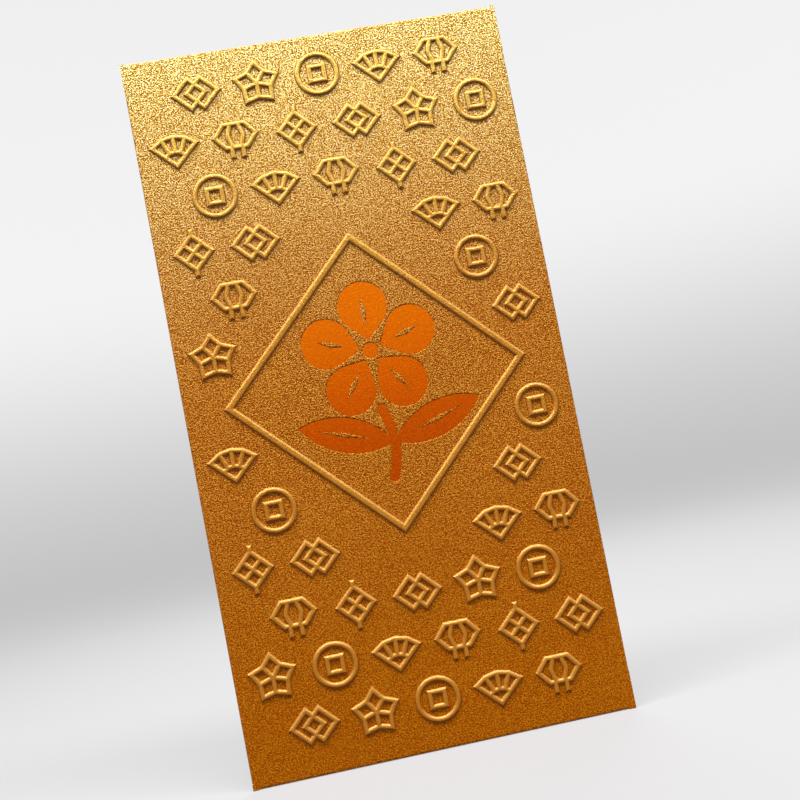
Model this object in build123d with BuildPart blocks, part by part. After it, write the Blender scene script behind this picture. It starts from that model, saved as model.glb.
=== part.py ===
"""Gold gift-money packet, folded and glued from one sheet of embossed pearl paper.

The packet stands upright in its own frame: its front faces -Y, +X is to the right as seen from the
front, and +Z runs up the packet. The origin is the middle of its lowest edge. All sizes are in mm.
"""
import os
from math import atan2, cos, degrees, hypot, radians, sin, sqrt

from build123d import *

# The folded packet
PACKET_WIDTH = 90.0
PACKET_HEIGHT = 170.0
PAPER = 0.25
GLUE = 0.06
TAB_BEND = 0.15
FLAP_CLEARANCE = 0.3

# The back of the packet and its tabs
BACK_INSET = 1.0
BACK_RISE = 1.5
THROAT = 7.0
THROAT_DIP = 3.0
SIDE_TAB = 12.0
SIDE_TAB_RISE = 9.0
SIDE_TAB_DROP = 12.0
SIDE_TAB_TAPER = 7.0
BOTTOM_TAB = 16.0
BOTTOM_TAB_INSET = 1.5
BOTTOM_TAB_TAPER = 8.0
TAB_CORNER = 2.5
GLUE_STRIP = 5.0
GLUE_END_GAP = 10.0

# The flap that closes the pocket
FLAP_LENGTH = 32.0
FLAP_INSET = 1.2
FLAP_TAPER = 9.0
FLAP_CORNER = 7.0
FLAP_SIDE_GAP = 0.2

# The raised line work on the front
RELIEF = 0.45
LINE = 1.1
DIAMOND_SIDE = 49.0
DIAMOND_LINE = 1.5
DIAMOND_RISE = 86.0
COLUMN_PITCH = 14.4
ROW_PITCH = 12.4
FIGURE_REACH = 5.9
EDGE_MARGIN = 3.0
DIAMOND_MARGIN = 1.0

# The figures that the line work repeats
COIN_RADIUS = 4.7
COIN_HOLE = 3.4
FAN_RADIUS = 7.0
FAN_COLLAR = 3.3
FAN_SPREAD = 92.0
FAN_RIBS = 5
FAN_DROP = 4.0
LANTERN_WIDTH = 9.6
LANTERN_MOUTH = 5.0
LANTERN_HEIGHT = 5.6
LANTERN_FACE_WIDTH = 3.6
LANTERN_FACE_MOUTH = 1.9
LANTERN_RISE = 0.9
TASSEL = 2.0
TASSEL_GAP = 2.6
KNOT_SIDE = 5.8
KNOT_TAIL = 1.5
LOZENGE = 3.6
LOZENGE_SHIFT = 1.5
PETALS = 5
PETAL_TIP = 5.0
PETAL_WAIST = 3.3

# The foil sprig inside the diamond
FOIL = 0.04
FOIL_BED = 0.08
FOIL_EDGE = 0.06
FLOWER_RISE = 7.5
FLOWER_REACH = 10.5
FLOWER_PETAL = 5.8
FLOWER_ROOT_REACH = 3.6
FLOWER_ROOT = 0.8
FLOWER_HEART = 1.8
FLOWER_SLIT_WIDTH = 1.5
FLOWER_SLIT_START = 5.8
FLOWER_SLIT_LENGTH = 7.0
STEM_WIDTH = 2.2
STEM_DROP = 14.0
STEM_LENGTH = 16.0
STEM_BOW = 1.6
LEAF_LENGTH = 22.5
LEAF_WIDTH = 8.0
LEAF_SLIT_WIDTH = 1.2
LEAF_SLIT_START = 5.0
LEAF_SLIT_LENGTH = 13.5
LEAF_LEAN = 18.0

# The stack of layers, from the front of the packet to its back
POCKET_GAP = 2 * TAB_BEND + PAPER + GLUE
THICKNESS = RELIEF + PAPER + POCKET_GAP + PAPER + FLAP_CLEARANCE + PAPER
FRONT_OUTER = RELIEF - THICKNESS / 2
FRONT_INNER = FRONT_OUTER + PAPER
SIDE_TAB_INNER = FRONT_INNER + 2 * TAB_BEND
SIDE_TAB_OUTER = SIDE_TAB_INNER + PAPER
BACK_INNER = SIDE_TAB_OUTER + GLUE
BACK_OUTER = BACK_INNER + PAPER
BOTTOM_TAB_INNER = BACK_OUTER + GLUE
BOTTOM_TAB_OUTER = BOTTOM_TAB_INNER + PAPER
FLAP_INNER = BACK_OUTER + FLAP_CLEARANCE
FLAP_OUTER = FLAP_INNER + PAPER

# The bends: each inner radius is half the space between the two layers that it joins
SPINE_BEND = POCKET_GAP / 2
BOTTOM_BEND = (BOTTOM_TAB_INNER - FRONT_INNER) / 2
CREASE_BEND = (FLAP_INNER - FRONT_INNER) / 2

# Where the flat layers end and the bends begin
SPINE_X = -PACKET_WIDTH / 2 + SPINE_BEND + PAPER
SIDE_FOLD_X = PACKET_WIDTH / 2 - TAB_BEND - PAPER
BOTTOM_FOLD_Z = BOTTOM_BEND + PAPER
CREASE_Z = PACKET_HEIGHT - CREASE_BEND - PAPER
BACK_TOP = PACKET_HEIGHT - THROAT
BACK_RIGHT = PACKET_WIDTH / 2 - BACK_INSET

# Lengths along the bends
SPINE_LENGTH = BACK_TOP - BACK_RISE
SIDE_TAB_LENGTH = PACKET_HEIGHT - SIDE_TAB_RISE - SIDE_TAB_DROP
BOTTOM_TAB_LENGTH = PACKET_WIDTH - 2 * BOTTOM_TAB_INSET
FLAP_BASE = PACKET_WIDTH - 2 * FLAP_INSET
SIDE_TAB_MIDDLE = SIDE_TAB_RISE + SIDE_TAB_LENGTH / 2

LOW_CORNER = (Align.MIN, Align.MIN)


def layer(y):
    """Plane of a flat layer at depth y, drawn as seen from the front and extruded towards the front."""
    return Plane.XZ.offset(-y)


def bend_profile(inner_radius):
    """Half ring of paper in the active sketch, on the side away from the sheets that it joins."""
    outer_radius = inner_radius + PAPER
    Circle(outer_radius)
    Circle(inner_radius, mode=Mode.SUBTRACT)
    with Locations((outer_radius / 2, 0)):
        Rectangle(outer_radius, 2 * outer_radius, mode=Mode.SUBTRACT)


def tab_profile(base, depth, taper, corner):
    """Tapered tab in the active sketch: its base lies along X and its far corners are rounded."""
    with BuildLine() as outline:
        Polyline(
            (-base / 2, 0),
            (base / 2, 0),
            (base / 2 - taper, depth),
            (taper - base / 2, depth),
            close=True,
        )
    make_face(outline.edges())
    fillet(vertices().group_by(Axis.Y)[-1], radius=corner)


def ridge(start, end):
    """Straight raised line in the active sketch, from one point to another."""
    run = end[0] - start[0]
    rise = end[1] - start[1]
    with Locations(((start[0] + end[0]) / 2, (start[1] + end[1]) / 2)):
        Rectangle(hypot(run, rise), LINE, rotation=degrees(atan2(rise, run)))


def raised_polygon(*points):
    """Raised line in the active sketch that follows a closed polygon."""
    with BuildSketch(mode=Mode.PRIVATE) as band:
        outline = Polygon(*points, align=None)
        offset(outline, amount=LINE / 2, kind=Kind.INTERSECTION)
        offset(outline, amount=-LINE / 2, kind=Kind.INTERSECTION, mode=Mode.SUBTRACT)
    add(band.sketch)


def polar(radius, angle, rise=0):
    """Point at a radius and an angle in degrees, about a centre that may stand above the origin."""
    return radius * cos(radians(angle)), radius * sin(radians(angle)) + rise


def slit(start, length, width):
    """Long pointed cut along X in the active sketch."""
    middle = start + length / 2
    Polygon(
        (start, 0),
        (middle, -width / 2),
        (start + length, 0),
        (middle, width / 2),
        align=None,
        mode=Mode.SUBTRACT,
    )


# Figure: a round coin with a square hole
with BuildSketch() as coin:
    Circle(COIN_RADIUS + LINE / 2)
    Circle(COIN_RADIUS - LINE / 2, mode=Mode.SUBTRACT)
    Rectangle(COIN_HOLE + LINE, COIN_HOLE + LINE)
    Rectangle(COIN_HOLE - LINE, COIN_HOLE - LINE, mode=Mode.SUBTRACT)

# Figure: a folding fan
with BuildSketch() as fan:
    rib_angles = [90 + FAN_SPREAD * (rib / (FAN_RIBS - 1) - 0.5) for rib in range(FAN_RIBS)]
    tips = [polar(FAN_RADIUS, angle, rise=-FAN_DROP) for angle in rib_angles]
    collar = [polar(FAN_COLLAR, angle, rise=-FAN_DROP) for angle in rib_angles]
    raised_polygon((0, -FAN_DROP), *tips)
    for first, second in zip(collar, collar[1:]):
        ridge(first, second)
    for root, tip in zip(collar[1:-1], tips[1:-1]):
        ridge(root, tip)

# Figure: a palace lantern with two tassels
with BuildSketch() as lantern:
    lantern_top = LANTERN_RISE + LANTERN_HEIGHT / 2
    lantern_foot = LANTERN_RISE - LANTERN_HEIGHT / 2
    for width, mouth in ((LANTERN_WIDTH, LANTERN_MOUTH), (LANTERN_FACE_WIDTH, LANTERN_FACE_MOUTH)):
        raised_polygon(
            (-mouth / 2, lantern_foot),
            (mouth / 2, lantern_foot),
            (width / 2, LANTERN_RISE),
            (mouth / 2, lantern_top),
            (-mouth / 2, lantern_top),
            (-width / 2, LANTERN_RISE),
        )
    for tassel_x in (-TASSEL_GAP / 2, TASSEL_GAP / 2):
        ridge((tassel_x, lantern_foot), (tassel_x, lantern_foot - LINE / 2 - TASSEL))

# Figure: a flat knot, woven on the diagonal
with BuildSketch() as knot:
    reach = (KNOT_SIDE + LINE) / 2
    for turn in (45, 135):
        along_x, along_y = polar(reach, turn)
        for strand in (-1 / 2, 0, 1 / 2):
            aside_x, aside_y = polar(strand * KNOT_SIDE, turn + 90)
            ridge((aside_x - along_x, aside_y - along_y), (aside_x + along_x, aside_y + along_y))
    knot_corner = KNOT_SIDE / sqrt(2)
    for side in (-1, 1):
        ridge((0, side * knot_corner), (0, side * (knot_corner + KNOT_TAIL)))

# Figure: two lozenges, one through the other
with BuildSketch() as lozenges:
    for shift in (-LOZENGE_SHIFT, LOZENGE_SHIFT):
        raised_polygon((shift - LOZENGE, 0), (shift, -LOZENGE), (shift + LOZENGE, 0), (shift, LOZENGE))

# Figure: a flower of kite-shaped petals round one centre
with BuildSketch() as kite_flower:
    half_petal = 180 / PETALS
    for petal in range(PETALS):
        angle = 90 + 2 * half_petal * petal
        raised_polygon(
            (0, 0),
            polar(PETAL_WAIST, angle - half_petal),
            polar(PETAL_TIP, angle),
            polar(PETAL_WAIST, angle + half_petal),
        )

FIGURES = (coin, fan, lantern, knot, lozenges, kite_flower)


def figure_places():
    """For each figure, the points of the front that carry it.

    The rows stand above and below the middle of the diamond, every second row is shifted by half a
    column, and a point is left out where its figure would come too near to the edges or the diamond.
    """
    side_limit = PACKET_WIDTH / 2 - EDGE_MARGIN - FIGURE_REACH
    lowest = EDGE_MARGIN + FIGURE_REACH
    highest = PACKET_HEIGHT - EDGE_MARGIN - FIGURE_REACH
    diamond_limit = DIAMOND_SIDE / sqrt(2) + sqrt(2) * (DIAMOND_LINE / 2 + DIAMOND_MARGIN + FIGURE_REACH)
    rows = int(PACKET_HEIGHT / ROW_PITCH)
    columns = int(PACKET_WIDTH / COLUMN_PITCH)
    places = [[] for figure in FIGURES]
    for row in range(-rows, rows + 1):
        for column in range(-columns, columns + 1):
            x = (column + row % 2 / 2) * COLUMN_PITCH
            rise = row * ROW_PITCH
            on_paper = abs(x) <= side_limit and lowest <= DIAMOND_RISE + rise <= highest
            if on_paper and abs(x) + abs(rise) >= diamond_limit:
                places[(column + 2 * row) % len(FIGURES)].append((x, DIAMOND_RISE + rise))
    return places


# The sprig: one petal of its flower, slit along its middle
with BuildSketch() as petal_shape:
    with Locations((FLOWER_REACH, 0)):
        Circle(FLOWER_PETAL)
    with Locations((FLOWER_ROOT_REACH, 0)):
        Circle(FLOWER_ROOT)
    make_hull()
    slit(FLOWER_SLIT_START, FLOWER_SLIT_LENGTH, FLOWER_SLIT_WIDTH)

# The sprig: one leaf, pointed at both ends and slit along its midrib
with BuildSketch() as leaf_shape:
    with BuildLine():
        ThreePointArc((0, 0), (LEAF_LENGTH / 2, LEAF_WIDTH / 2), (LEAF_LENGTH, 0))
        ThreePointArc((0, 0), (LEAF_LENGTH / 2, -LEAF_WIDTH / 2), (LEAF_LENGTH, 0))
    make_face()
    slit(LEAF_SLIT_START, LEAF_SLIT_LENGTH, LEAF_SLIT_WIDTH)

# The whole sprig, about the middle of the diamond
with BuildSketch() as sprig:
    with Locations((0, FLOWER_RISE)):
        Circle(FLOWER_HEART)
        with PolarLocations(0, PETALS, start_angle=90):
            add(petal_shape.sketch)
    stem_top = FLOWER_RISE - STEM_DROP
    leaf_foot = (STEM_BOW, stem_top - STEM_LENGTH / 2)
    with BuildLine(mode=Mode.PRIVATE) as stem_line:
        ThreePointArc((0, stem_top), leaf_foot, (0, stem_top - STEM_LENGTH))
    SlotArc(stem_line.edge(), STEM_WIDTH)
    with Locations(Location(leaf_foot, LEAF_LEAN), Location(leaf_foot, 180 - LEAF_LEAN)):
        add(leaf_shape.sketch)

# The sprig's outline, a little larger, for the bed that the hot die presses into the paper
with BuildSketch() as sprig_bed:
    offset(sprig.sketch, amount=FOIL_EDGE)

# Front panel: flat paper, cut back where it turns into the bends, with the raised line work
with BuildPart() as front_panel:
    with BuildSketch(layer(FRONT_INNER)):
        with Locations((0, PACKET_HEIGHT / 2)):
            Rectangle(PACKET_WIDTH, PACKET_HEIGHT)
        with Locations((-PACKET_WIDTH / 2, BACK_RISE)):
            Rectangle(SPINE_X + PACKET_WIDTH / 2, SPINE_LENGTH, align=LOW_CORNER, mode=Mode.SUBTRACT)
        with Locations((SIDE_FOLD_X, SIDE_TAB_RISE)):
            Rectangle(PACKET_WIDTH / 2 - SIDE_FOLD_X, SIDE_TAB_LENGTH, align=LOW_CORNER, mode=Mode.SUBTRACT)
        with Locations((-BOTTOM_TAB_LENGTH / 2, 0)):
            Rectangle(BOTTOM_TAB_LENGTH, BOTTOM_FOLD_Z, align=LOW_CORNER, mode=Mode.SUBTRACT)
        with Locations((-FLAP_BASE / 2 - FLAP_SIDE_GAP, CREASE_Z)):
            Rectangle(
                FLAP_BASE + 2 * FLAP_SIDE_GAP,
                PACKET_HEIGHT - CREASE_Z,
                align=LOW_CORNER,
                mode=Mode.SUBTRACT,
            )
    extrude(amount=PAPER)
    with BuildSketch(layer(FRONT_OUTER)):
        for figure, places in zip(FIGURES, figure_places()):
            with Locations(*places):
                add(figure.sketch)
        with Locations((0, DIAMOND_RISE)):
            diamond_outer = DIAMOND_SIDE + DIAMOND_LINE
            diamond_inner = DIAMOND_SIDE - DIAMOND_LINE
            Rectangle(diamond_outer, diamond_outer, rotation=45)
            Rectangle(diamond_inner, diamond_inner, rotation=45, mode=Mode.SUBTRACT)
    extrude(amount=RELIEF)
    with BuildSketch(layer(FRONT_OUTER)):
        with Locations((0, DIAMOND_RISE)):
            add(sprig_bed.sketch)
    extrude(amount=-FOIL_BED, mode=Mode.SUBTRACT)

# Foil emblem: the orange film at the bottom of its bed
with BuildPart() as foil_emblem:
    with BuildSketch(layer(FRONT_OUTER + FOIL_BED)):
        with Locations((0, DIAMOND_RISE)):
            add(sprig.sketch)
    extrude(amount=FOIL)

# Spine fold: the bend from the front to the back along the left edge
with BuildPart() as spine_fold:
    spine_centre = (SPINE_X, FRONT_INNER + SPINE_BEND, BACK_RISE)
    with BuildSketch(Plane(origin=spine_centre, x_dir=(1, 0, 0), z_dir=(0, 0, 1))):
        bend_profile(SPINE_BEND)
    extrude(amount=SPINE_LENGTH)

# Back panel: from the spine to the seam, with the dipped throat edge at its top
with BuildPart() as back_panel:
    with BuildSketch(layer(BACK_OUTER)):
        with BuildLine():
            middle_x = (SPINE_X + BACK_RIGHT) / 2
            Polyline(
                (SPINE_X, BACK_TOP),
                (SPINE_X, BACK_RISE),
                (BACK_RIGHT, BACK_RISE),
                (BACK_RIGHT, BACK_TOP),
            )
            ThreePointArc((BACK_RIGHT, BACK_TOP), (middle_x, BACK_TOP - THROAT_DIP), (SPINE_X, BACK_TOP))
        make_face()
    extrude(amount=PAPER)

# Side tab fold: the bend from the front into the pocket along the right edge
with BuildPart() as side_tab_fold:
    side_fold_centre = (SIDE_FOLD_X, FRONT_INNER + TAB_BEND, SIDE_TAB_RISE)
    with BuildSketch(Plane(origin=side_fold_centre, x_dir=(-1, 0, 0), z_dir=(0, 0, 1))):
        bend_profile(TAB_BEND)
    extrude(amount=SIDE_TAB_LENGTH)

# Side glue tab: lies inside the pocket, behind the right edge of the back panel
with BuildPart() as side_glue_tab:
    side_tab_base = (SIDE_FOLD_X, SIDE_TAB_OUTER, SIDE_TAB_MIDDLE)
    with BuildSketch(Plane(origin=side_tab_base, x_dir=(0, 0, 1), z_dir=(0, -1, 0))):
        tab_profile(SIDE_TAB_LENGTH, SIDE_TAB, SIDE_TAB_TAPER, TAB_CORNER)
    extrude(amount=PAPER)

# Bottom fold: the bend from the front round to the outside of the back
with BuildPart() as bottom_fold:
    bottom_fold_centre = (-BOTTOM_TAB_LENGTH / 2, FRONT_INNER + BOTTOM_BEND, BOTTOM_FOLD_Z)
    with BuildSketch(Plane(origin=bottom_fold_centre, x_dir=(0, 0, 1), z_dir=(1, 0, 0))):
        bend_profile(BOTTOM_BEND)
    extrude(amount=BOTTOM_TAB_LENGTH)

# Bottom glue tab: folded up over the back panel
with BuildPart() as bottom_glue_tab:
    bottom_tab_base = (0, BOTTOM_TAB_OUTER, BOTTOM_FOLD_Z)
    with BuildSketch(Plane(origin=bottom_tab_base, x_dir=(1, 0, 0), z_dir=(0, -1, 0))):
        tab_profile(BOTTOM_TAB_LENGTH, BOTTOM_TAB, BOTTOM_TAB_TAPER, TAB_CORNER)
    extrude(amount=PAPER)

# Flap crease: the bend from the front over the mouth of the pocket
with BuildPart() as flap_crease:
    crease_centre = (-FLAP_BASE / 2, FRONT_INNER + CREASE_BEND, CREASE_Z)
    with BuildSketch(Plane(origin=crease_centre, x_dir=(0, 0, -1), z_dir=(1, 0, 0))):
        bend_profile(CREASE_BEND)
    extrude(amount=FLAP_BASE)

# Top flap: hangs from the crease and closes over the back
with BuildPart() as top_flap:
    flap_base = (0, FLAP_OUTER, CREASE_Z)
    with BuildSketch(Plane(origin=flap_base, x_dir=(-1, 0, 0), z_dir=(0, -1, 0))):
        tab_profile(FLAP_BASE, FLAP_LENGTH, FLAP_TAPER, FLAP_CORNER)
    extrude(amount=PAPER)

# Side glue line: holds the side tab to the inside of the back panel
with BuildPart() as side_glue_line:
    with BuildSketch(layer(BACK_INNER)):
        with Locations((SIDE_FOLD_X - SIDE_TAB / 2, SIDE_TAB_MIDDLE)):
            SlotOverall(SIDE_TAB_LENGTH - 2 * GLUE_END_GAP, GLUE_STRIP, rotation=90)
    extrude(amount=GLUE)

# Bottom glue line: holds the bottom tab to the outside of the back panel
with BuildPart() as bottom_glue_line:
    with BuildSketch(layer(BOTTOM_TAB_INNER)):
        with Locations((0, BOTTOM_FOLD_Z + BOTTOM_TAB / 2)):
            SlotOverall(BOTTOM_TAB_LENGTH - 2 * GLUE_END_GAP, GLUE_STRIP)
    extrude(amount=GLUE)

PIECES = {
    "front_panel": front_panel,
    "foil_emblem": foil_emblem,
    "spine_fold": spine_fold,
    "back_panel": back_panel,
    "side_tab_fold": side_tab_fold,
    "side_glue_tab": side_glue_tab,
    "side_glue_line": side_glue_line,
    "bottom_fold": bottom_fold,
    "bottom_glue_tab": bottom_glue_tab,
    "bottom_glue_line": bottom_glue_line,
    "flap_crease": flap_crease,
    "top_flap": top_flap,
}

os.makedirs("parts", exist_ok=True)
for name, piece in PIECES.items():
    piece.part.label = name
    export_step(piece.part, f"parts/{name}.step")
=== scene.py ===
# %% [markdown]
# # A gold gift-money packet
#
# The real packet is one sheet of gold pearl paper. A die raises fine lines all over its front, a hot
# stamp presses an orange foil sprig into the diamond, and the sheet is then folded and glued into a flat
# pocket with a flap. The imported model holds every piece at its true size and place, so this lesson only
# dresses it: each new piece takes its measures from the frame.

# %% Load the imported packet
from contextlib import contextmanager
from math import atan2, ceil, cos, hypot, pi, radians, sin, tan

import bpy
from mathutils import Matrix, Vector
from mathutils.bvhtree import BVHTree
from mathutils.geometry import delaunay_2d_cdt


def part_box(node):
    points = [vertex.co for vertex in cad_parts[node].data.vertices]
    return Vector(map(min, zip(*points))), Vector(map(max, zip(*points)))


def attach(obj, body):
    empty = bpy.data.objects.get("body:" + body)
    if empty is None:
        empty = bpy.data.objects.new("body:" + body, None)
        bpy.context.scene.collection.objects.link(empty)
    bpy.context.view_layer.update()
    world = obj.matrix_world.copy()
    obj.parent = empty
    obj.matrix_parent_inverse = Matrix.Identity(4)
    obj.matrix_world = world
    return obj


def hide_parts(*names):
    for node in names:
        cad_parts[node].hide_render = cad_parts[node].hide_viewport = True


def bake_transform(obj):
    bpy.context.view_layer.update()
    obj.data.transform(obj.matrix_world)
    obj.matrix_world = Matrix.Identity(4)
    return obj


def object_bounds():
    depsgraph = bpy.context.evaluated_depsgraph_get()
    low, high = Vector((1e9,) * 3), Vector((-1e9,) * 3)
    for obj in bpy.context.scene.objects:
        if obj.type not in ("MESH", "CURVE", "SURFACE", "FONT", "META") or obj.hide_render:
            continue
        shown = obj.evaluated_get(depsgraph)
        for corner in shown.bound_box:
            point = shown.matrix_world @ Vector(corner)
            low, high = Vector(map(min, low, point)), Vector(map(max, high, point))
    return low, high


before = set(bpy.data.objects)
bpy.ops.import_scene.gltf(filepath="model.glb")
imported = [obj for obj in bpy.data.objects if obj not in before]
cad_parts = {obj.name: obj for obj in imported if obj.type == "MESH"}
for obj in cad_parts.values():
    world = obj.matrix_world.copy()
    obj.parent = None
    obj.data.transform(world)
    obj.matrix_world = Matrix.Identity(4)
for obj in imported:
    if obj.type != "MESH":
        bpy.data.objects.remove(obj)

MM = 0.001
cad_low, cad_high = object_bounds()
print("packet in mm:", [round(side / MM, 2) for side in cad_high - cad_low])

# %% [markdown]
# ## The camera
#
# The camera comes first, because every later choice is judged through it. The four corners of the front
# in the picture fix where it stands: almost square to the packet, a little below its middle, and rolled,
# so that the packet leans in the frame. A Track To constraint could aim it, but it can't roll it, so the
# camera's matrix is built from the three directions that it needs: right, up and back.

# %% Place the camera
CAMERA_AZIMUTH = radians(-4.95)
CAMERA_ELEVATION = radians(-2.96)
CAMERA_ROLL = radians(-11.03)
CAMERA_DISTANCE = 259.8 * MM
CAMERA_AIM = Vector((4.6 * MM, 0, 80.8 * MM))
LENS = 50
SENSOR = 36
NEAREST_SEEN = 10 * MM

back = Vector((
    sin(CAMERA_AZIMUTH) * cos(CAMERA_ELEVATION),
    -cos(CAMERA_AZIMUTH) * cos(CAMERA_ELEVATION),
    sin(CAMERA_ELEVATION),
))
level_right = Vector((cos(CAMERA_AZIMUTH), sin(CAMERA_AZIMUTH), 0))
level_up = back.cross(level_right)
right = level_right * cos(CAMERA_ROLL) + level_up * sin(CAMERA_ROLL)
up = level_up * cos(CAMERA_ROLL) - level_right * sin(CAMERA_ROLL)
bpy.ops.object.camera_add()
camera = bpy.context.object
camera.name = "photo_camera"
camera.data.lens = LENS
camera.data.sensor_width = SENSOR
camera.data.clip_start = NEAREST_SEEN
camera.matrix_world = Matrix((right, up, back)).transposed().to_4x4()
camera.location = CAMERA_AIM + back * CAMERA_DISTANCE
bpy.context.scene.camera = camera
print("camera at", [round(place, 4) for place in camera.location])

# %% [markdown]
# ## Working on one object at a time
#
# An operator acts on whatever is selected, and the loaded nodes all start out selected. These helpers
# pick one object, enter edit mode and leave it again, which is what a hand does with the Tab key.

# %% Helpers for editing
def pick(piece):
    """Selects one object alone and makes it the active one."""
    bpy.ops.object.select_all(action="DESELECT")
    piece.select_set(True)
    bpy.context.view_layer.objects.active = piece


@contextmanager
def editing(piece):
    """Edit mode on one object, with everything in it selected."""
    pick(piece)
    bpy.ops.object.mode_set(mode="EDIT")
    bpy.ops.mesh.select_all(action="SELECT")
    yield
    bpy.ops.object.mode_set(mode="OBJECT")


def face_outwards(inside=False):
    """Within edit mode, turns all faces outwards, or inwards for a room."""
    bpy.ops.mesh.select_all(action="SELECT")
    bpy.ops.mesh.normals_make_consistent(inside=inside)


# %% [markdown]
# ## The studio
#
# A packet like this is photographed in a small cloth tent whose floor rolls up into the wall, so that no
# edge shows behind it. A bent plane would do for one camera. A disc whose rim is extruded outwards and
# then up goes all the way round instead, so that the packet has the same ground on every side, and a
# Subdivision Surface modifier rounds the roll.

# %% Build the tent
TENT_FLOOR = 650 * MM
TENT_RADIUS = 900 * MM
TENT_HEIGHT = 700 * MM
TENT_ROLL = TENT_RADIUS - TENT_FLOOR
TENT_SIDES = 48
ROLL_LEVELS = 3

bpy.ops.object.select_all(action="DESELECT")
bpy.ops.mesh.primitive_circle_add(vertices=TENT_SIDES, radius=TENT_FLOOR, fill_type="NGON")
tent = bpy.context.object
tent.name = "tent"
with editing(tent):
    bpy.ops.mesh.extrude_region_move()
    bpy.ops.transform.resize(value=(TENT_RADIUS / TENT_FLOOR, TENT_RADIUS / TENT_FLOOR, 1))
    for lift in (TENT_ROLL, TENT_HEIGHT - TENT_ROLL):
        bpy.ops.mesh.extrude_region_move(TRANSFORM_OT_translate={"value": (0, 0, lift)})
    bpy.ops.mesh.delete(type="ONLY_FACE")
    face_outwards(inside=True)
rounding = tent.modifiers.new("roll", "SUBSURF")
rounding.levels = rounding.render_levels = ROLL_LEVELS
pick(tent)
bpy.ops.object.modifier_apply(modifier=rounding.name)
bpy.ops.object.shade_smooth()
print("tent has", len(tent.data.polygons), "faces")

# %% [markdown]
# ## The lamps
#
# Raised lines show only where light grazes them. The main lamp is therefore a softbox a metre wide, high
# above the packet and only a little in front of it: it lights the upper flank of every ridge and leaves
# the lower one in shade, and its width keeps the light even from side to side. A lamp square to the paper
# would be brighter and would flatten it. A small softbox behind keeps the back of the packet readable.

# %% Light the tent
WORLD_LIGHT = 0.03
WORLD_TINT = (1.0, 0.99, 0.97, 1.0)
HIGH_PLACE = Vector((-20, -200, 600)) * MM
HIGH_AIM = Vector((0, 0, 60)) * MM
HIGH_SIZE = (1000 * MM, 140 * MM)
HIGH_WATTS = 8.4
BACK_PLACE = Vector((60, 330, 330)) * MM
BACK_AIM = Vector((0, 0, 90)) * MM
BACK_SIZE = (300 * MM, 200 * MM)
BACK_WATTS = 0.9

scene = bpy.context.scene
scene.view_settings.view_transform = "Standard"
scene.world = bpy.data.worlds.new("tent_light")
scene.world.use_nodes = True
sky = scene.world.node_tree.nodes["Background"]
sky.inputs["Color"].default_value = WORLD_TINT
sky.inputs["Strength"].default_value = WORLD_LIGHT


def add_softbox(name, place, aim, size, watts):
    """A rectangular lamp that the camera itself doesn't see."""
    bpy.ops.object.light_add(type="AREA", location=place)
    lamp = bpy.context.object
    lamp.name = name
    lamp.rotation_euler = (place - aim).to_track_quat("Z", "Y").to_euler()
    lamp.data.shape = "RECTANGLE"
    lamp.data.size, lamp.data.size_y = size
    lamp.data.energy = watts
    lamp.visible_camera = False
    print("lamp:", name)


add_softbox("high_softbox", HIGH_PLACE, HIGH_AIM, HIGH_SIZE, HIGH_WATTS)
add_softbox("back_softbox", BACK_PLACE, BACK_AIM, BACK_SIZE, BACK_WATTS)

# %% [markdown]
# ## Shader maths as Python
#
# A finish is a small program drawn as nodes. Wiring it by hand is slow to read, so one class wraps a
# socket: arithmetic on it adds Math nodes, and its node method adds any other node, with the settings
# first and the sockets after them.

# %% The socket class
class Wire:
    """One output socket of a material's node tree."""

    def __init__(self, tree, socket=None):
        self.tree = tree
        self.socket = socket

    def node(self, kind, settings=None, sockets=None, output=0):
        """Adds a node with its settings, then gives each named socket a value or a link."""
        made = self.tree.nodes.new("ShaderNode" + kind)
        for name, value in (settings or {}).items():
            if name == "stops":
                for stop, (place, colour) in zip(stops_of(made, len(value)), value):
                    stop.position = place
                    stop.color = colour
            else:
                setattr(made, name, value)
        for name, value in (sockets or {}).items():
            if isinstance(value, Wire):
                self.tree.links.new(value.socket, made.inputs[name])
            else:
                made.inputs[name].default_value = value
        return Wire(self.tree, made.outputs[output] if made.outputs else None)

    def maths(self, operation, first, second=0.0):
        return self.node("Math", {"operation": operation}, {0: first, 1: second})

    def __add__(self, other):
        return self.maths("ADD", self, other)

    def __radd__(self, other):
        return self.maths("ADD", other, self)

    def __sub__(self, other):
        return self.maths("SUBTRACT", self, other)

    def __rsub__(self, other):
        return self.maths("SUBTRACT", other, self)

    def __mul__(self, other):
        return self.maths("MULTIPLY", self, other)

    def __rmul__(self, other):
        return self.maths("MULTIPLY", other, self)

    def __neg__(self):
        return 0.0 - self

    def __abs__(self):
        return self.maths("ABSOLUTE", self)

    def above(self, other):
        """The larger of two values."""
        return self.maths("MAXIMUM", self, other)

    def ramp(self, low, high):
        """0 at low and 1 at high, eased at both ends."""
        limits = {"Value": self, "From Min": low, "From Max": high}
        return self.node("MapRange", {"interpolation_type": "SMOOTHSTEP"}, limits)


def stops_of(ramp_node, count):
    """The stops of a new colour ramp, made up to a count."""
    elements = ramp_node.color_ramp.elements
    while len(elements) < count:
        elements.new(1.0)
    return elements


# %% [markdown]
# ## Words for finishes
#
# Every finish here begins with a place on the piece and ends in one Principled shader. In between it is
# made of the same few things: a noise, one direction of a place, a tone turned into a colour, a share of
# one colour over another, and a bump. Each gets a short name, so that a finish reads like a recipe.

# %% Helpers for finishes
def new_finish(name):
    """A material with an empty tree: (material, a wire to draw from, places on the piece in mm)."""
    material = bpy.data.materials.new(name)
    material.use_nodes = True
    material.node_tree.nodes.clear()
    start = Wire(material.node_tree)
    place = start.node("TexCoord", output="Object")
    in_mm = start.node("VectorMath", {"operation": "SCALE"}, {"Vector": place, "Scale": 1 / MM})
    return material, start, in_mm


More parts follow.
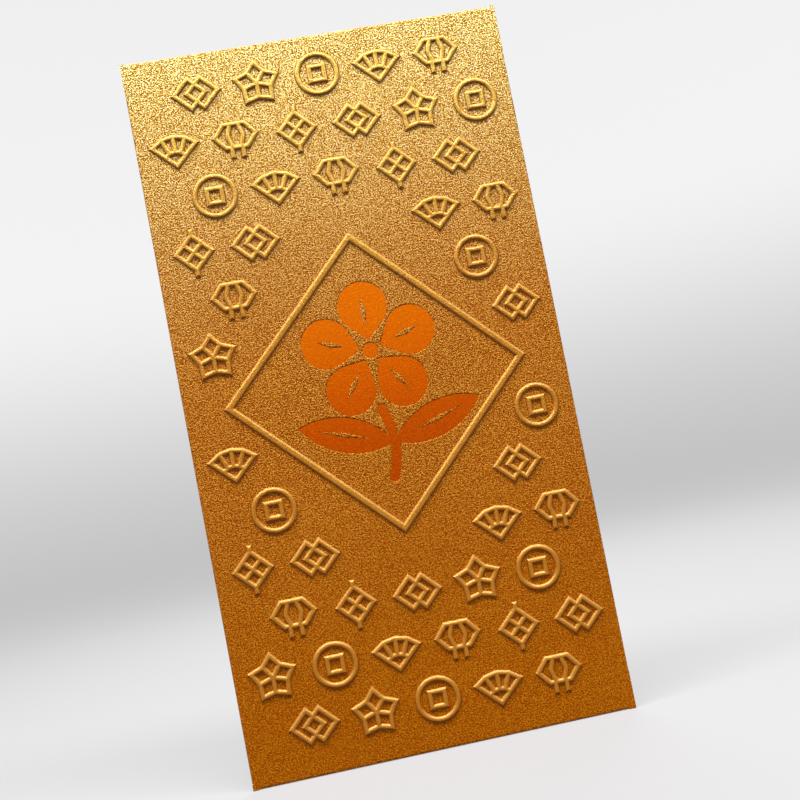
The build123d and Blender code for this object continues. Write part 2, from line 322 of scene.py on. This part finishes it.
def close_finish(start, sockets):
    """Ends a finish in a Principled shader with these sockets."""
    shader = start.node("BsdfPrincipled", sockets=sockets)
    start.node("OutputMaterial", sockets={"Surface": shader})


def tint(red, green, blue):
    """A colour as shader sockets want it."""
    return (red, green, blue, 1.0)


def noise(place, scale, detail):
    """Cloudy values about one half, with a number of grains to the millimetre."""
    return place.node("TexNoise", sockets={"Vector": place, "Scale": scale, "Detail": detail})


def along(vector, axis):
    """One part of a vector: its X, Y or Z."""
    return vector.node("SeparateXYZ", sockets={"Vector": vector}, output=axis)


def coloured(tone, stops):
    """The colour that a list of stops gives to each tone."""
    return tone.node("ValToRGB", {"stops": stops}, {"Fac": tone})


def mixed(share, under, over):
    """One colour with a share of another laid over it."""
    sockets = {"Factor": share, "A": under, "B": over}
    return share.node("Mix", {"data_type": "RGBA"}, sockets, output="Result")


def bumped(height, depth):
    """Normals of a surface whose heights from 0 to 1 span a depth."""
    return height.node("Bump", sockets={"Height": height, "Distance": depth, "Strength": 1.0})


# %% [markdown]
# ## Measures of the sheet
#
# Paper thickness and the height of the embossing are properties of the real stock and of its die, and
# the finishes and the new meshes both need them. Writing them here again would let them drift from the
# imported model, so they are read from its boxes: the flap is plain paper, and the front is paper plus relief.

# %% Measure the sheet
front_low, front_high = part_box("front_panel")
flap_low, flap_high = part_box("top_flap")
foil_low, foil_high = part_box("foil_emblem")
PAPER = flap_high.y - flap_low.y
SHEET_FACE = front_high.y - PAPER
RELIEF = SHEET_FACE - front_low.y
print("paper", round(PAPER / MM, 3), "mm, relief", round(RELIEF / MM, 3), "mm")

# %% [markdown]
# ## Gold pearl paper: the grain
#
# Pearl paper is coated with mica flakes in a clear binder over a sandy surface. From reading distance it
# shows grains of about a third of a millimetre, some facing the lamp and some turned away. A picture of
# real paper would repeat and would end at each edge. Noise on Object coordinates runs on unbroken from
# one piece to the next, and two scales of it together look less regular than one.

# %% Grain of the paper
GRAIN = 3.05
FINE_GRAIN = 7.0
COARSE_SHARE = 0.75
GRAIN_DEPTH = 0.28 * MM
MIDDLE = 0.5


def sandy_grain(place):
    """Grains of the sandy stock: (coarse, fine, both together)."""
    coarse = noise(place, GRAIN, detail=1.0)
    fine = noise(place, FINE_GRAIN, detail=1.0)
    return coarse, fine, coarse * COARSE_SHARE + fine * (1 - COARSE_SHARE)


# %% [markdown]
# ## Gold pearl paper: marks of the die
#
# Where the die lifts the sheet, the coat stretches. The colour of the raised lines also carries painted
# light: the crown and the upper flank of each ridge are painted paler as a painted highlight, and the lower
# flank and the foot are painted darker as painted shade. These masks could be painted by hand, line by
# line. The mesh already knows them: the depth of a point tells how far it is raised, and the normal tells
# which flank it is on.

# %% Masks of the raised lines
PRESSED_RISE = (0.02, 0.16)
FOOT_STARTS = (0.0, 0.05)
FOOT_ENDS = (0.12, 0.38)
CROWN_RISE = (0.12, 0.40)
FLANK_LEAN = (0.10, 0.60)


def die_marks(start, place):
    """Where the die worked the sheet: (pressed, foot, crown, upper flank, lower flank)."""
    raised = SHEET_FACE / MM - along(place, "Y")
    pressed = raised.ramp(*PRESSED_RISE)
    # The foot of each raised line, where painted shade goes.
    foot = raised.ramp(*FOOT_STARTS) * (1.0 - raised.ramp(*FOOT_ENDS))
    crown = raised.ramp(*CROWN_RISE)
    # The normal finds the upper flank, which gets a painted highlight, and the lower flank, which gets painted
    # shade.
    lean = along(start.node("TexCoord", output="Normal"), "Z")
    upper = lean.ramp(*FLANK_LEAN) * pressed
    lower = (-lean).ramp(*FLANK_LEAN) * pressed
    return pressed, foot, crown, upper, lower


# %% [markdown]
# ## Gold pearl paper: wear at the folds
#
# A coat cracks where the paper is bent hard, and specks of pale stock show through along the edges of
# the packet. The folds are the outermost parts of its box, so the distance from the sides and the ends
# of that box finds them all, and the grain breaks the line up into specks.

# %% Wear at the folds
FOLD_WEAR = 0.35
CRACK_FINE_SHARE = 0.6
CRACKS = (0.54, 0.62)
CRACK_SHARE = 0.3


def fold_cracks(place, coarse, fine):
    """Share of bare stock that shows through the coat."""
    half_width = cad_high.x / MM
    half_height = cad_high.z / MM / 2
    past_side = abs(along(place, "X")) - half_width
    past_end = abs(along(place, "Z") - half_height) - half_height
    at_fold = past_side.above(past_end).ramp(-FOLD_WEAR, 0.0)
    cracks = (fine * CRACK_FINE_SHARE + coarse * (1 - CRACK_FINE_SHARE)).ramp(*CRACKS)
    return at_fold * cracks * CRACK_SHARE


# %% [markdown]
# ## Gold pearl paper: the coat
#
# The coat is painted from a deep amber at the foot of the packet to a glittering straw towards the mouth:
# a painted sheen that puts the light on the upper part of the packet into the colour. The same height also
# raises the share of mirror-like flakes, and the contrast of the grain grows towards the mouth. A single
# colour ramp would only fade, so there are two, one for each end, and the height on the sheet mixes them.
# The same grain then drives the colour, the share of mirror-like flakes, the roughness and the bump,
# because on the real paper these are one thing. The raised lines are pressed smoother and keep a faint
# clear skin. Their crowns and upper flanks get a painted highlight, and their lower flanks and feet a
# painted shade that grows towards the mouth.

# %% Gold coat
DEEP_COAT = [
    (0.36, tint(0.33, 0.034, 0.001)),
    (0.50, tint(0.49, 0.116, 0.001)),
    (0.63, tint(0.70, 0.255, 0.006)),
]
# Painted sheen: the coat colours towards the mouth, paler because they stand in for the light there.
PAINTED_SHEEN_COAT = [
    (0.32, tint(0.37, 0.085, 0.003)),
    (0.44, tint(0.67, 0.320, 0.022)),
    (0.52, tint(0.95, 0.740, 0.130)),
    (0.68, tint(0.99, 0.910, 0.560)),
]
# Painted highlight: a paler colour on the crowns of the raised lines.
CROWN_HIGHLIGHT_COAT = tint(0.86, 0.50, 0.07)
# Painted highlight: a paler colour on the upper flanks of the raised lines.
PAINTED_HIGHLIGHT_COAT = tint(1.00, 0.72, 0.22)
# Painted shade: a dark colour at the feet and on the lower flanks of the raised lines.
PAINTED_SHADE_COAT = tint(0.19, 0.012, 0.001)
PAPER_CORE = tint(0.80, 0.74, 0.60)
CROWN_HIGHLIGHT_SHARE = 0.25
FLANK_HIGHLIGHT_SHARE = 0.45
# Shares of painted shade at the feet and on the lower flanks: a base share, and more where the painted sheen
# is.
FOOT_SHADE_SHARE, FOOT_SHADE_SHARE_TOP = 0.35, 0.60
LOWER_SHADE_SHARE, LOWER_SHADE_SHARE_TOP = 0.75, 0.25
# Heights in mm over which the painted sheen pales the coat.
PAINTED_SHEEN_EARLY = (0.0, 110.0)
PAINTED_SHEEN_LATE = (85.0, 195.0)
EARLY_SHARE = 0.08
LOOSENS = (10.0, 95.0)
LOOSER = 0.7
DRIFT = 0.035
DRIFT_SHARE = 0.06
FLAKES = (0.46, 0.62)
FLAKE_MIRROR, FLAKE_MIRROR_PALE = 0.1, 0.5
COAT_ROUGH = 0.6
GRAIN_POLISH = 0.4
PRESSED_SMOOTH = 0.50
PRESSED_MIRROR = 0.16
PRESSED_POLISH = 0.10
PRESSED_SKIN = 0.20
SKIN_ROUGH = 0.30
COAT_GLOSS = 0.3
COAT_GLOSS_TINT = tint(1.0, 0.80, 0.06)


def gold_paper():
    """Coated outside of the sheet."""
    material, start, place = new_finish("gold_coat")
    coarse, fine, sand = sandy_grain(place)
    pressed, foot, crown, upper, lower = die_marks(start, place)
    worn = fold_cracks(place, coarse, fine)
    rise = along(place, "Z")
    # painted sheen: the height on the sheet pales the coat towards the mouth in place of light.
    painted_sheen = rise.ramp(*PAINTED_SHEEN_LATE) * (1 - EARLY_SHARE) + rise.ramp(*PAINTED_SHEEN_EARLY) * EARLY_SHARE
    loose = (1.0 - pressed * PRESSED_SMOOTH) * (rise.ramp(*LOOSENS) * LOOSER + 1.0)
    grain = (sand - MIDDLE) * loose + MIDDLE
    tone = grain + (noise(place, DRIFT, detail=2.0) - MIDDLE) * DRIFT_SHARE
    flat = mixed(painted_sheen, coloured(tone, DEEP_COAT), coloured(tone, PAINTED_SHEEN_COAT))
    # painted highlight: the crowns of the raised lines are painted paler.
    crowns_highlighted = mixed(crown * CROWN_HIGHLIGHT_SHARE, flat, CROWN_HIGHLIGHT_COAT)
    # painted highlight: the coat with the upper flanks of the raised lines painted paler.
    drawn = mixed(upper * FLANK_HIGHLIGHT_SHARE, crowns_highlighted, PAINTED_HIGHLIGHT_COAT)
    # painted shade: the feet and lower flanks of the raised lines are painted darker, more so towards the
    # mouth.
    painted_foot_shade = foot * (painted_sheen * FOOT_SHADE_SHARE_TOP + FOOT_SHADE_SHARE)
    painted_lower_shade = lower * (painted_sheen * LOWER_SHADE_SHARE_TOP + LOWER_SHADE_SHARE)
    # coat: the coat colour with painted highlight and painted shade laid over it.
    coat = mixed(painted_foot_shade.above(painted_lower_shade), drawn, PAINTED_SHADE_COAT)
    # the painted sheen also raises the share of mirror-like flakes towards the mouth.
    flakes = grain.ramp(*FLAKES) * (painted_sheen * painted_sheen * FLAKE_MIRROR_PALE + FLAKE_MIRROR)
    close_finish(start, {
        "Base Color": mixed(worn, coat, PAPER_CORE),
        "Metallic": (flakes + pressed * PRESSED_MIRROR) * (1.0 - worn),
        "Roughness": COAT_ROUGH - grain * GRAIN_POLISH - pressed * PRESSED_POLISH,
        "Normal": bumped(grain, GRAIN_DEPTH),
        "Specular IOR Level": COAT_GLOSS,
        "Specular Tint": COAT_GLOSS_TINT,
        "Coat Weight": pressed * PRESSED_SKIN,
        "Coat Roughness": SKIN_ROUGH,
    })
    return material


gold = gold_paper()
print("finish:", gold.name)

# %% [markdown]
# ## The bare side of the paper
#
# Only one side is coated. The inside of the pocket and every cut edge show the pale, matt stock, with
# soft clouds where the fibres lie thicker and fine threads along the making direction. Threads could be
# drawn one by one as curves. Stretching a noise along one axis with a Mapping node is enough at this size.

# %% Bare paper
CLOUDS = 0.22
CLOUD_SHARE = 0.5
THREADS = 1.0
THREAD_STRETCH = (5.0, 5.0, 0.7)
THREAD_DEPTH = 0.03 * MM
STOCK_TONES = [(0.3, tint(0.70, 0.63, 0.49)), (0.7, tint(0.86, 0.81, 0.69))]
STOCK_ROUGH = 0.95
THREAD_POLISH = 0.2


def bare_paper():
    """Uncoated inside of the sheet and its cut edges."""
    material, start, place = new_finish("bare_paper")
    clouds = noise(place, CLOUDS, detail=3.0)
    drawn_out = start.node("Mapping", sockets={"Vector": place, "Scale": THREAD_STRETCH})
    threads = noise(drawn_out, THREADS, detail=4.0)
    tone = clouds * CLOUD_SHARE + threads * (1 - CLOUD_SHARE)
    close_finish(start, {
        "Base Color": coloured(tone, STOCK_TONES),
        "Roughness": STOCK_ROUGH - threads * THREAD_POLISH,
        "Normal": bumped(threads, THREAD_DEPTH),
    })
    return material


bare = bare_paper()
print("finish:", bare.name)

# %% [markdown]
# ## Orange foil
#
# Hot foil is a metal film with a coloured lacquer. It is smoother than the paper, but the sandy stock
# below still shows through it, so a plain glossy metal would look like a sticker. The foil takes the
# paper's own grain at half its depth. Its colour is painted paler at the top of the sprig and deeper at
# its foot: a painted sheen like the one on the paper.

# %% Orange film
FILM_TONES = [
    (0.15, tint(0.50, 0.056, 0.001)),
    (0.50, tint(0.77, 0.124, 0.001)),
    (0.85, tint(0.97, 0.215, 0.002)),
]
FILM_FOOT_TONE = 0.25
FILM_PAINTED_SHEEN = 0.5
FILM_GRAIN_SHARE = 0.7
FILM_GRAIN_DEPTH = GRAIN_DEPTH / 2
FILM_METAL = 0.75
FILM_ROUGH = 0.5
FILM_POLISH = 0.25
FILM_GLOSS = 0.5
FILM_GLOSS_TINT = tint(1.0, 0.42, 0.06)


def orange_film():
    """Stamped film of the sprig."""
    material, start, place = new_finish("orange_film")
    *_, grain = sandy_grain(place)
    # painted sheen: the film is painted paler at the top of the sprig and deeper at its foot.
    rise = along(place, "Z").ramp(foil_low.z / MM, foil_high.z / MM)
    tone = rise * FILM_PAINTED_SHEEN + (grain - MIDDLE) * FILM_GRAIN_SHARE + FILM_FOOT_TONE
    close_finish(start, {
        "Base Color": coloured(tone, FILM_TONES),
        "Metallic": FILM_METAL,
        "Roughness": FILM_ROUGH - grain * FILM_POLISH,
        "Normal": bumped(grain, FILM_GRAIN_DEPTH),
        "Specular IOR Level": FILM_GLOSS,
        "Specular Tint": FILM_GLOSS_TINT,
    })
    return material


film = orange_film()
print("finish:", film.name)

# %% [markdown]
# ## Dried glue
#
# The tabs are held by white paper glue, which dries to a thin film with a faint skin. It shows only as a
# line between two layers, so a plain cream would almost do. A soft noise in its tone and shine is as
# cheap, and holds up when the packet is opened and looked into.

# %% Dried glue
SKIN = 0.6
SKIN_DEPTH = 0.02 * MM
GLUE_TONES = [(0.35, tint(0.78, 0.74, 0.64)), (0.65, tint(0.90, 0.88, 0.80))]
GLUE_ROUGH = 0.55
SKIN_POLISH = 0.3


def dried_glue():
    """Film of white paper glue between two layers."""
    material, start, place = new_finish("dried_glue")
    skin = noise(place, SKIN, detail=3.0)
    close_finish(start, {
        "Base Color": coloured(skin, GLUE_TONES),
        "Roughness": GLUE_ROUGH - skin * SKIN_POLISH,
        "Normal": bumped(skin, SKIN_DEPTH),
    })
    return material


glue = dried_glue()
print("finish:", glue.name)

# %% [markdown]
# ## Tent cloth
#
# White cloth would throw so much light back that the ridges lost their shade. This cloth is dark to the
# lamps and glows only to the eye and to mirrors, with the Light Path node, so that the ground is pale
# while the packet keeps its modelling. The glow is an addition, so the shadow of the packet still shows.

# %% Tent cloth
CLOTH = tint(0.20, 0.20, 0.204)
CLOTH_ROUGH = 0.9
FLOOR_GLOW = 0.45
WALL_GLOW = 0.80
WALL_RISE = (0.0, 300.0)


def tent_cloth():
    """Plain ground that looks paler than the lamps make it."""
    material, start, place = new_finish("tent_cloth")
    seen = start.node("LightPath", output="Is Camera Ray")
    mirrored = start.node("LightPath", output="Is Glossy Ray")
    seen_through = start.node("LightPath", output="Is Transmission Ray")
    glow = FLOOR_GLOW + along(place, "Z").ramp(*WALL_RISE) * (WALL_GLOW - FLOOR_GLOW)
    close_finish(start, {
        "Base Color": CLOTH,
        "Roughness": CLOTH_ROUGH,
        "Emission Color": (seen + mirrored + seen_through) * glow,
        "Emission Strength": 1.0,
    })
    return material


tent.data.materials.append(tent_cloth())
print("finish:", tent.data.materials[0].name)

# %% [markdown]
# ## Reading the die from the frame
#
# The front of the packet was pressed between two dies, so its lines are rounded ridges that rise out of
# the sheet and not strips laid on it. A bevel over so many crossing lines would tear, and a fine grid
# would need a million faces to follow lines one millimetre wide. The way taken here is the engraver's:
# contour lines. The solid's crest gives the outline of the raised lines, lines drawn beside that outline
# at a few distances become the edges of the new mesh, and each point gets its height from its distance.

# %% Outlines of a node's faces
WELD = 0.001 * MM
SAME_DEPTH = 0.01 * MM
SQUARE_ON = 0.9
EDGE_ON = 0.1


def merged_copy(node):
    """A copy of a node's mesh whose loose triangles are joined along their edges."""
    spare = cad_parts[node].copy()
    spare.data = spare.data.copy()
    spare.parent = None
    bpy.context.collection.objects.link(spare)
    with editing(spare):
        bpy.ops.mesh.remove_doubles(threshold=WELD)
    mesh = spare.data
    bpy.data.objects.remove(spare)
    return mesh


def rims(mesh, depth, facing):
    """Closed loops of (x, z) points round the flat faces at a depth that face the front, -1, or the back."""
    directed = set()
    for face in mesh.polygons:
        if face.normal.y * facing > SQUARE_ON and abs(face.center.y - depth) < SAME_DEPTH:
            corners = list(face.vertices)
            directed.update(zip(corners, corners[1:] + corners[:1]))
    follower = {start: end for start, end in directed if (end, start) not in directed}
    loops = []
    while follower:
        first = here = next(iter(follower))
        loop = []
        while here in follower:
            place = mesh.vertices[here].co
            loop.append(Vector((place.x, place.z)))
            here = follower.pop(here)
        if here == first and len(loop) > 2:
            loops.append(loop)
    return loops


def walls(mesh, depth):
    """A search tree of the upright faces that cross a depth: the walls of raised lines or of the foil."""
    upright = []
    for face in mesh.polygons:
        depths = [mesh.vertices[corner].co.y for corner in face.vertices]
        if abs(face.normal.y) < EDGE_ON and min(depths) < depth < max(depths):
            upright.append(tuple(face.vertices))
    return BVHTree.FromPolygons([vertex.co for vertex in mesh.vertices], upright)


panel_mesh = merged_copy("front_panel")
foil_mesh = merged_copy("foil_emblem")
line_depth = SHEET_FACE - RELIEF / 2
foil_depth = (foil_low.y + foil_high.y) / 2
sheet_rim = rims(panel_mesh, front_high.y, 1)
line_rims = rims(panel_mesh, front_low.y, -1)
foil_rims = rims(foil_mesh, foil_low.y, -1)
line_walls = walls(panel_mesh, line_depth)
foil_walls = walls(foil_mesh, foil_depth)
print("outlines:", len(sheet_rim), "sheet,", len(line_rims), "raised lines,", len(foil_rims), "foil")

# %% [markdown]
# ## Contour lines
#
# A contour is a copy of an outline, moved sideways by a level. On the outside of a corner it is joined by
# an arc, on the inside by the point where the two sides meet. Where two raised lines come close, their
# contours would cross, so a point is kept only if nothing else is nearer than its level.

# %% Draw contours beside an outline
STEP = 1.1 * MM
ARC_STEP = radians(30)


def clearance(point, tree, depth):
    """Distance of an (x, z) point from the nearest wall."""
    *_, distance = tree.find_nearest((point.x, depth, point.y))
    return distance


def cut_evenly(loop):
    """The loop with its long sides cut into equal steps."""
    points = []
    for start, end in zip(loop, loop[1:] + loop[:1]):
        parts = ceil((end - start).length / STEP)
        points += [start.lerp(end, part / parts) for part in range(parts)]
    return points


def beside(loop, level):
    """The loop moved sideways by a level: outwards if it is positive."""
    moved = []
    for before, here, after in zip(loop[-1:] + loop[:-1], loop, loop[1:] + loop[:1]):
        come = (here - before).normalized()
        go = (after - here).normalized()
        turn = atan2(come.x * go.y - come.y * go.x, come.dot(go))
        side = Vector((come.y, -come.x))
        if turn * level > 0 and abs(turn) > ARC_STEP / 2:
            arcs = ceil(abs(turn) / ARC_STEP)
            for arc in range(arcs + 1):
                moved.append(here + Matrix.Rotation(turn * arc / arcs, 2) @ side * level)
        else:
            mitre = side + Vector((go.y, -go.x))
            moved.append(here + mitre * (2 * level / mitre.length_squared))
    return moved


# %% [markdown]
# ## A drawing that becomes a sheet
#
# All contours go into one drawing. Blender could fill it face by face in edit mode, but with thousands of
# lines that is slow and leaves crossing edges. A constrained triangulation fills it at once and keeps
# every line that was drawn as an edge.

# %% The drawing class
TRUE_LEVEL = 0.004 * MM
LINK_LEVEL = 0.03 * MM
SNAP_IN_MM = 0.002
INSIDE_ONLY = 1


class Drawing:
    """Points with heights, and the links between them that no triangle may cross."""

    def __init__(self):
        self.points = []
        self.heights = []
        self.links = []

    def add_line(self, line, height, joined):
        """Adds a closed line at one height, leaving out the links that the joined test refuses."""
        first = len(self.points)
        self.points += line
        self.heights += [height] * len(line)
        for number, (start, end) in enumerate(zip(line, line[1:] + line[:1])):
            if joined((start + end) / 2):
                self.links.append((first + number, first + (number + 1) % len(line)))

    def add_contours(self, loops, level, height, tree, depth):
        """Adds the true stretches of one contour round every loop."""
        def misses(point):
            return abs(clearance(point, tree, depth) - abs(level))

        for loop in loops:
            line = [point for point in beside(cut_evenly(loop), level) if misses(point) < TRUE_LEVEL]
            self.add_line(line, height, lambda middle: misses(middle) < LINK_LEVEL)

    def fill(self, name, face):
        """An upright sheet of triangles: heights stand out from the face depth towards the viewer."""
        in_mm = [point / MM for point in self.points]
        filled = delaunay_2d_cdt(in_mm, self.links, [], INSIDE_ONLY, SNAP_IN_MM)
        places, _, triangles, first_points, *_ = filled
        corners = []
        for place, known in zip(places, first_points):
            corners.append((place.x * MM, face - self.heights[known[0]], place.y * MM))
        mesh = bpy.data.meshes.new(name)
        mesh.from_pydata(corners, [], triangles)
        sheet = bpy.data.objects.new(name, mesh)
        bpy.context.collection.objects.link(sheet)
        return sheet


# %% [markdown]
# ## The embossed front
#
# Each ridge rises from a little outside the outline to near its middle. Paper over a die makes a
# half-round ridge, steep at the foot and flat at the crown, so the heights of its contours follow a dome.
# The bed of the foil was ironed in by the hot stamp, and its wall is eased at both ends.

# %% Press the front
RIDGE_FOOT = 0.18 * MM
RIDGE_CROWN = 0.52 * MM
RIDGE_SHARES = (0, 0.17, 0.36, 0.57, 0.78, 1)
BED_DEPTH = 0.13 * MM
BED_WALL = 0.30 * MM
BED_SHARES = (0.02, 0.3, 0.65, 1, 1.15)


def domed(share):
    """Height of a half-round ridge, from 0 at its foot to 1 at its crown."""
    return 1 - (1 - share) ** 2


def eased(share):
    """A smooth rise from 0 to 1."""
    return share * share * (3 - 2 * share)


die = Drawing()
for loop in sheet_rim:
    die.add_line(loop, 0, lambda middle: True)
for share in RIDGE_SHARES:
    level = RIDGE_FOOT - share * (RIDGE_FOOT + RIDGE_CROWN)
    die.add_contours(line_rims, level, RELIEF * domed(share), line_walls, line_depth)
for share in BED_SHARES:
    sunk = BED_DEPTH * eased(max(1 - share, 0))
    die.add_contours(foil_rims, share * BED_WALL, -sunk, foil_walls, foil_depth)
embossed_front = die.fill("embossed_front", SHEET_FACE)
print("die:", len(die.points), "points make", len(embossed_front.data.polygons), "triangles")

# %% [markdown]
# ## Two sides of one sheet
#
# The filled face is only a skin. A Solidify modifier would thicken it along its normals and swell the
# ridges. Extruding it straight back by one paper thickness leaves the front as it is and makes the back
# hollow where the front is raised, as on any embossed paper. The coat goes on the outer side alone.

# %% Give the sheet its thickness and its two sides
SOFT_ANGLE = radians(25)
FRONT_COATED = -0.3


def thicken(piece):
    """Extrudes a flat sheet by one paper thickness towards the back of the packet."""
    with editing(piece):
        bpy.ops.mesh.extrude_region_move(TRANSFORM_OT_translate={"value": (0, PAPER, 0)})
        face_outwards()


def dress(piece, coated):
    """Gold on the faces that the coated test accepts, bare paper on the others, and soft shading."""
    piece.data.materials.clear()
    piece.data.materials.append(gold)
    piece.data.materials.append(bare)
    for face in piece.data.polygons:
        face.material_index = 0 if coated(face) else 1
    pick(piece)
    bpy.ops.object.shade_smooth_by_angle(angle=SOFT_ANGLE)


thicken(embossed_front)
dress(embossed_front, lambda face: face.normal.y < FRONT_COATED)
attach(embossed_front, "packet")
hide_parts("front_panel")
print("embossed front:", len(embossed_front.data.polygons), "faces")

# %% [markdown]
# ## The foil sprig
#
# Foil is stamped after the lines, so it lies at the bottom of a shallow bed with crisp edges. It could be
# drawn again from curves, but its outline is already exact in the frame. A copy of that node is merged,
# its flat faces are cleaned, and it is lowered onto the floor of the bed.

# %% Lay the foil
FLAT_ANGLE = radians(0.5)
CRISP_ANGLE = radians(40)

foil_sprig = bpy.data.objects.new("foil_sprig", merged_copy("foil_emblem"))
bpy.context.collection.objects.link(foil_sprig)
to_bed = SHEET_FACE + BED_DEPTH - foil_high.y
with editing(foil_sprig):
    bpy.ops.mesh.dissolve_limited(angle_limit=FLAT_ANGLE)
    bpy.ops.transform.translate(value=(0, to_bed, 0))
foil_sprig.data.materials.clear()
foil_sprig.data.materials.append(film)
pick(foil_sprig)
bpy.ops.object.shade_smooth_by_angle(angle=CRISP_ANGLE)
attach(foil_sprig, "packet")
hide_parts("foil_emblem")
print("foil sprig:", len(foil_sprig.data.polygons), "faces")

# %% [markdown]
# ## Sheets that are only cut and folded
#
# The back, the flap and the two tabs are plain paper. They could be flat copies of their nodes, but a
# sheet is easier to shape from a plane over its node's box. The edge away from the fold is drawn in, its
# corners are rounded by a vertex bevel, and the plane is then extruded by one paper thickness.

# %% Helpers for flat sheets
UPRIGHT = (pi / 2, 0, 0)
BACK_COATED = 0.5


def paper_plane(name, size, place, turn):
    """A plane of one width and length, added at its place."""
    bpy.ops.object.select_all(action="DESELECT")
    bpy.ops.mesh.primitive_plane_add(size=1, rotation=turn, location=place)
    piece = bpy.context.object
    piece.name = name
    piece.scale = (*size, 1)
    bpy.ops.object.transform_apply(location=True, rotation=True, scale=True)
    return piece


def upright_plane(name, node):
    """A plane over the front of a node's box."""
    low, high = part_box(node)
    middle = (low + high) / 2
    size = (high.x - low.x, high.z - low.z)
    return paper_plane(name, size, (middle.x, low.y, middle.z), UPRIGHT)


def choose(piece, wanted):
    """Within edit mode, selects only the points that the wanted test accepts."""
    bpy.ops.mesh.select_all(action="DESELECT")
    bpy.ops.object.mode_set(mode="OBJECT")
    for vertex in piece.data.vertices:
        vertex.select = wanted(vertex.co)
    bpy.ops.object.mode_set(mode="EDIT")


def finish_sheet(piece, node, body):
    """Thickens a flat sheet of the back, coats its outer side and lets it stand for its node."""
    thicken(piece)
    dress(piece, lambda face: face.normal.y > BACK_COATED)
    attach(piece, body)
    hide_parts(node)
    print(piece.name + ":", len(piece.data.polygons), "faces")


# %% Cut the flap and the tabs
X, Z = 0, 2
CORNER_STEPS = 10
FLAP_TAPER, FLAP_CORNER = 9 * MM, 7 * MM
BOTTOM_TAPER, BOTTOM_CORNER = 8 * MM, 2.5 * MM
SIDE_TAPER, SIDE_CORNER = 7 * MM, 2.5 * MM


def cut_tab(name, node, body, far, drawn_in, taper, corner):
    """A tab whose far edge, found by the far test, is drawn in by a taper along an axis and rounded."""
    low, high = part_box(node)
    base = (high - low)[drawn_in]
    depth = (high - low)[X + Z - drawn_in]
    narrowing = [1.0, 1.0, 1.0]
    narrowing[drawn_in] = 1 - 2 * taper / base
    half_corner = (pi / 2 + atan2(taper, depth)) / 2
    cut_back = corner / tan(half_corner)
    piece = upright_plane(name, node)
    with editing(piece):
        choose(piece, far)
        bpy.ops.transform.resize(value=narrowing, center_override=(low + high) / 2)
        bpy.ops.mesh.bevel(affect="VERTICES", offset=cut_back, segments=CORNER_STEPS, clamp_overlap=False)
    finish_sheet(piece, node, body)


flap_end = flap_low.z + PAPER
bottom_tab_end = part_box("bottom_glue_tab")[1].z - PAPER
side_tab_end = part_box("side_glue_tab")[0].x + PAPER
cut_tab(
    "flap_sheet", "top_flap", "flap", lambda place: place.z < flap_end,
    drawn_in=X, taper=FLAP_TAPER, corner=FLAP_CORNER,
)
cut_tab(
    "bottom_tab", "bottom_glue_tab", "packet", lambda place: place.z > bottom_tab_end,
    drawn_in=X, taper=BOTTOM_TAPER, corner=BOTTOM_CORNER,
)
cut_tab(
    "side_tab", "side_glue_tab", "packet", lambda place: place.x < side_tab_end,
    drawn_in=Z, taper=SIDE_TAPER, corner=SIDE_CORNER,
)

# %% [markdown]
# ## The back and its thumb dip
#
# The top edge of the back is cut in a shallow curve, so that a thumb can open the pocket. A boolean with
# a wide cylinder could cut it, but the edge would then have the cylinder's steps. Subdividing the top edge
# and lowering its points along a parabola gives the same cut with points at equal steps.

# %% Cut the back
THROAT_DIP = 3 * MM
THROAT_CUTS = 47

back_low, back_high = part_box("back_panel")
top_edge = back_high.z - PAPER
half_mouth = (back_high.x - back_low.x) / 2
back_sheet = upright_plane("back_sheet", "back_panel")
with editing(back_sheet):
    choose(back_sheet, lambda place: place.z > top_edge)
    bpy.ops.mesh.subdivide(number_cuts=THROAT_CUTS)
for vertex in back_sheet.data.vertices:
    if vertex.co.z > top_edge:
        share = (vertex.co.x - back_low.x) / half_mouth - 1
        vertex.co.z -= THROAT_DIP * (1 - share * share)
finish_sheet(back_sheet, "back_panel", "packet")

# %% [markdown]
# ## Folds
#
# A fold is a half ring with the paper's own thickness. It could be cut from a tube, but the cut end of the
# sheet is already its profile: a thin strip. Spinning that strip by half a turn about the line of the fold
# sweeps out the bend. The crease of the flap belongs to both bodies, so it is attached to neither, and its
# place is baked into its points.

# %% Roll the folds
FOLD_STEPS = 24
LEFT, RIGHT = Vector((-1, 0, 0)), Vector((1, 0, 0))
DOWN, UP = Vector((0, 0, -1)), Vector((0, 0, 1))
LYING = (0, 0, 0)
ON_EDGE = (0, pi / 2, 0)


def roll_fold(name, node, bulge):
    """Half ring of paper that stands out towards the bulge, from the front layer to the layer behind."""
    low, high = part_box(node)
    axis = X if bulge.x else Z
    length = (high - low)[X + Z - axis]
    base = low[axis] if sum(bulge) > 0 else high[axis]
    centre = (low + high) / 2
    centre[axis] = base
    place = centre.copy()
    place.y = low.y + PAPER / 2
    piece = paper_plane(name, (length, PAPER), place, ON_EDGE if bulge.x else LYING)
    with editing(piece):
        bpy.ops.mesh.spin(steps=FOLD_STEPS, angle=pi, center=centre, axis=(bulge.z, 0, -bulge.x))
        face_outwards()
    coat_radius = (high.y - low.y) / 2 - PAPER / 4
    dress(piece, lambda face: hypot(face.center.y - centre.y, face.center[axis] - base) > coat_radius)
    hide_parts(node)
    print(name + ":", len(piece.data.polygons), "faces")
    return piece


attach(roll_fold("spine_roll", "spine_fold", LEFT), "packet")
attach(roll_fold("side_roll", "side_tab_fold", RIGHT), "packet")
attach(roll_fold("bottom_roll", "bottom_fold", DOWN), "packet")
crease_roll = roll_fold("crease_roll", "flap_crease", UP)
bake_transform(crease_roll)

# %% [markdown]
# ## Last touches
#
# The two glue films keep the shape they have in the frame and only take a finish.

# %% Finish the glue
for node in ("side_glue_line", "bottom_glue_line"):
    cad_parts[node].material_slots[0].material = glue
